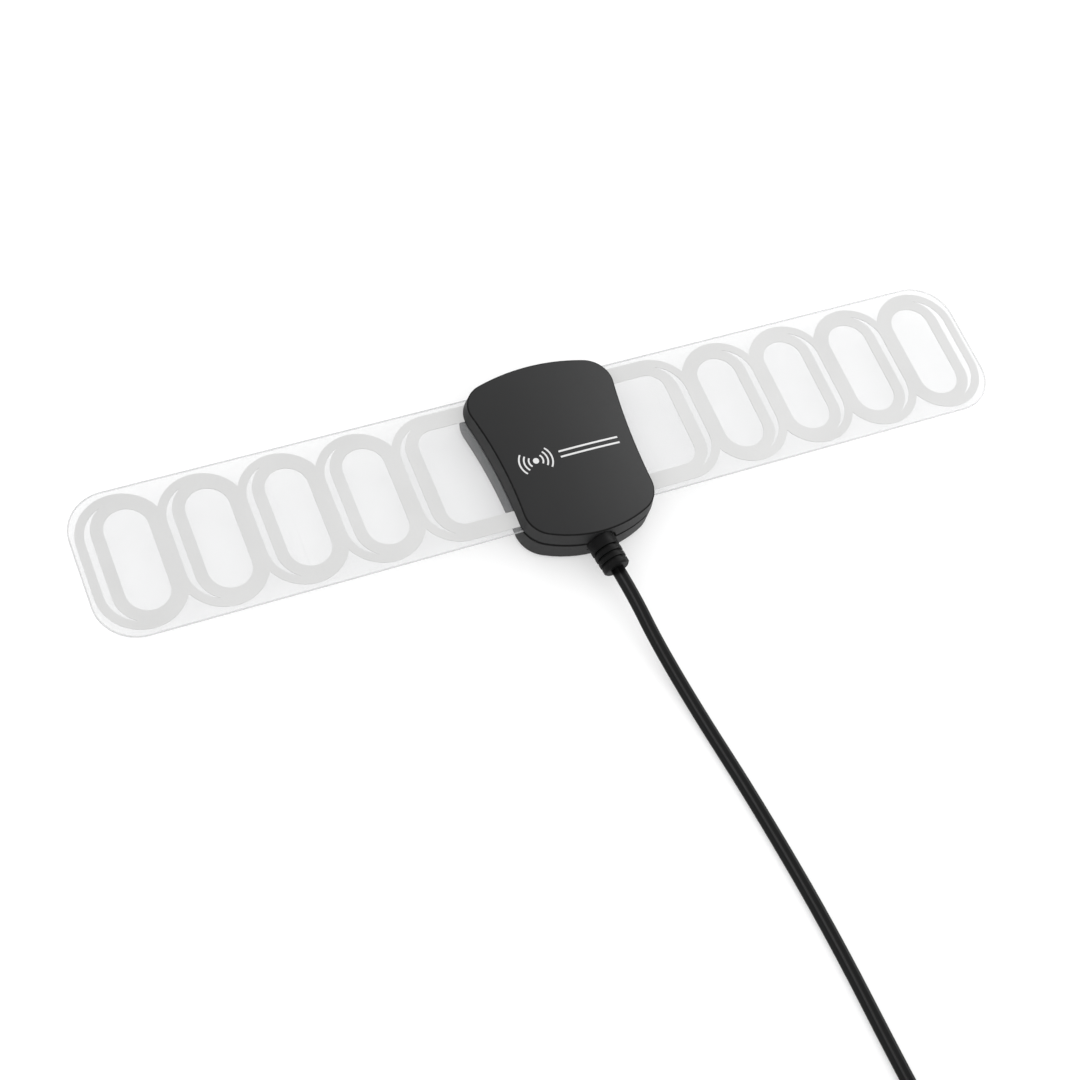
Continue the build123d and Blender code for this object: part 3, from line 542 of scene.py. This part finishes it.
def clear_film():
    """Clear sheet with a faint haze and hairline scratches. A grey line of painted edge shading runs along
    its cut edge, standing in for the light the edge gathers.
    """
    mat, tree, shader = material("clear_film")
    # painted edge shading: a grey band just inside the film's outline
    rim = fade(tree, film_inset(tree), EDGE_LINE, EDGE_FADE)
    haze = noise(tree, 25.0, 3.0)
    tint = ramp(tree, haze, [(0.3, (0.53, 0.537, 0.548)), (0.7, (0.58, 0.585, 0.595))])
    tree.links.new(mix_colour(tree, rim, tint, (0.46, 0.464, 0.468)), shader.inputs["Base Color"])
    body = fade(tree, haze, 0.3, 0.7, 0.125, 0.155)
    scratches = fade(tree, noise(tree, 700.0, 2.0, stretch=(1.0, 0.03, 1.0)), 0.66, 0.74, 0.0, 0.015)
    sheet = math_node(tree, "ADD", body, scratches)
    # the painted edge shading also makes the sheet less clear there
    edge = math_node(tree, "MULTIPLY", rim, 0.32)
    tree.links.new(math_node(tree, "ADD", sheet, edge, clamp=True), shader.inputs["Alpha"])
    tree.links.new(ramp(tree, haze, [(0.3, grey(0.10)), (0.7, grey(0.18))]), shader.inputs["Roughness"])
    shader.inputs["IOR"].default_value = 1.5
    bump(tree, shader, noise(tree, 30.0, 2.0), 0.15, 0.0004)
    return mat


def printed_ink():
    """Light grey conductive ink with a fine screen-print grain; its upright edges are painted near-black as
    painted shade.
    """
    mat, tree, shader = material("conductive_ink")
    grain = noise(tree, 4500.0, 3.0)
    base = ramp(tree, noise(tree, 35.0, 2.0), [(0.3, (0.59, 0.59, 0.587)), (0.7, (0.63, 0.63, 0.627))])
    dots = ramp(tree, grain, [(0.35, grey(0.9)), (0.65, grey(1.0))])
    ink = mix_colour(tree, 1.0, base, dots, blend="MULTIPLY")
    # painted shade: the ink's upright faces get a near-black colour, standing in for the shade on the print's
    # edges
    side = fade(tree, levelness(tree), 0.3, 0.7)
    tree.links.new(mix_colour(tree, side, ink, grey(0.03)), shader.inputs["Base Color"])
    tree.links.new(ramp(tree, grain, [(0.3, grey(0.42)), (0.7, grey(0.58))]), shader.inputs["Roughness"])
    bump(tree, shader, grain, 0.2, 0.00003)
    return mat


plastic_black = (0.008, 0.008, 0.0085)
# shell colours: level face, painted shade for the crease, upright band
cover_colours = (0.009, 0.0092, 0.0096), grey(0.0015), (0.0145, 0.0148, 0.0153)
base_colours = (0.012, 0.012, 0.0125), grey(0.009), (0.0155, 0.0155, 0.016)
finishes = {
    "clear_film": clear_film(),
    "silver_ink": printed_ink(),
    "charcoal_shell": housing_plastic("cover_plastic", *cover_colours),
    "black_shell": housing_plastic("base_plastic", *base_colours),
    "steel": metal("zinc_steel", (0.62, 0.62, 0.60), 0.3),
    "foam_pad": moulded("foam_pad", (0.72, 0.72, 0.69), 0.85, grain=2500.0, depth=0.0002, strength=0.6),
    "circuit_board": clad_board(),
    "tin_can": metal("tin_plate", (0.76, 0.76, 0.73), 0.28, stretch=(1, 0.05, 1)),
    "black_chip": moulded("black_resin", (0.018, 0.018, 0.019), 0.5),
    "tan_chip": moulded("tan_ceramic", (0.45, 0.33, 0.20), 0.45),
    "capacitor_can": metal("capacitor_sleeve", (0.80, 0.80, 0.81), 0.3, stretch=(1, 1, 0.05)),
    "ferrite": moulded("ferrite", (0.045, 0.045, 0.048), 0.7, grain=5000.0, strength=0.5),
    "enamel_wire": metal("enamelled_copper", (0.72, 0.26, 0.09), 0.25),
    "spring_bronze": metal("bronze_strip", (0.80, 0.60, 0.30), 0.3, stretch=(0.05, 1, 1)),
    "cord_black": moulded(
        "cord_sheath", shade(plastic_black, 0.4), 0.42, grain=6000.0, strength=0.3, gloss=0.18
    ),
    "tie_black": moulded("tie_strap", (0.028, 0.028, 0.03), 0.6, grain=3500.0, strength=0.5),
    "nickel": metal("nickel_plate", (0.78, 0.76, 0.72), 0.16, stretch=(1, 0.05, 1), spread=0.04),
    "white_plastic": moulded("white_plastic", (0.80, 0.80, 0.77), 0.4, spread=0.03),
    "gold_contact": metal("gold_flash", (0.90, 0.66, 0.26), 0.2, stretch=(1, 0.05, 1)),
    "red_sleeve": moulded("red_sleeve", (0.55, 0.025, 0.02), 0.4),
    "copper": metal("bare_copper", (0.82, 0.42, 0.24), 0.28),
}
boot_rubber = moulded(
    "boot_rubber", shade(plastic_black, 0.35), 0.5, grain=6000.0, strength=0.35, gloss=0.13
)
mark_paint = moulded("mark_paint", (0.66, 0.66, 0.66), 0.5, grain=6000.0, spread=0.04)
slots = {entry["node"]: entry["material_slot"] for entry in frame["record"]["subparts"]}
for name, node in nodes.items():
    for slot in node.material_slots:
        slot.material = boot_rubber if name == "strain_relief_boot" else finishes[slots[name]]
for piece in (cord, aerial_cord, power_cord):
    piece.data.materials.append(finishes["cord_black"])
mark.data.materials.append(mark_paint)

# ---- floor and lights ----
FLOOR_REACH, FLOOR_Z = 4, -0.3 * MM
corners = [(x * FLOOR_REACH, y * FLOOR_REACH, FLOOR_Z) for x, y in ((-1, -1), (1, -1), (1, 1), (-1, 1))]
floor_mesh = bpy.data.meshes.new("floor")
floor_mesh.from_pydata(corners, [], [(0, 1, 2, 3)])
floor = new_object("floor", floor_mesh)
ground, tree, shader = material("studio_floor")
soft = ramp(tree, noise(tree, 3.0, 2.0), [(0.3, grey(0.93)), (0.7, grey(0.95))])
tree.links.new(soft, shader.inputs["Base Color"])
shader.inputs["Roughness"].default_value = 0.9
floor.data.materials.append(ground)


LIGHT_TARGET = Vector((0, -0.05, 0))


def area_light(name, place, size, power):
    """A soft lamp that casts no shadow, aimed at the object. The even sky gives the only, faint, shadow."""
    data = bpy.data.lights.new(name, "AREA")
    data.shape = "RECTANGLE"
    data.size, data.size_y = size
    data.energy = power
    data.use_shadow = False
    obj = bpy.data.objects.new(name, data)
    obj.location = place
    obj.rotation_euler = (LIGHT_TARGET - obj.location).to_track_quat("-Z", "Y").to_euler()
    scene.collection.objects.link(obj)


area_light("key", (4.0, 1.0, 3.0), (4.0, 3.2), 165)
area_light("fill", (-2.2, -1.2, 2.4), (3.2, 3.2), 20)
area_light("back", (0.4, 2.6, 1.8), (3.2, 2.0), 10)
world = bpy.data.worlds.new("studio")
world.use_nodes = True
sky = world.node_tree.nodes["Background"]
sky.inputs["Color"].default_value = (1, 1, 1, 1)
sky.inputs["Strength"].default_value = 0.76
scene.world = world
scene.view_settings.view_transform = "Standard"
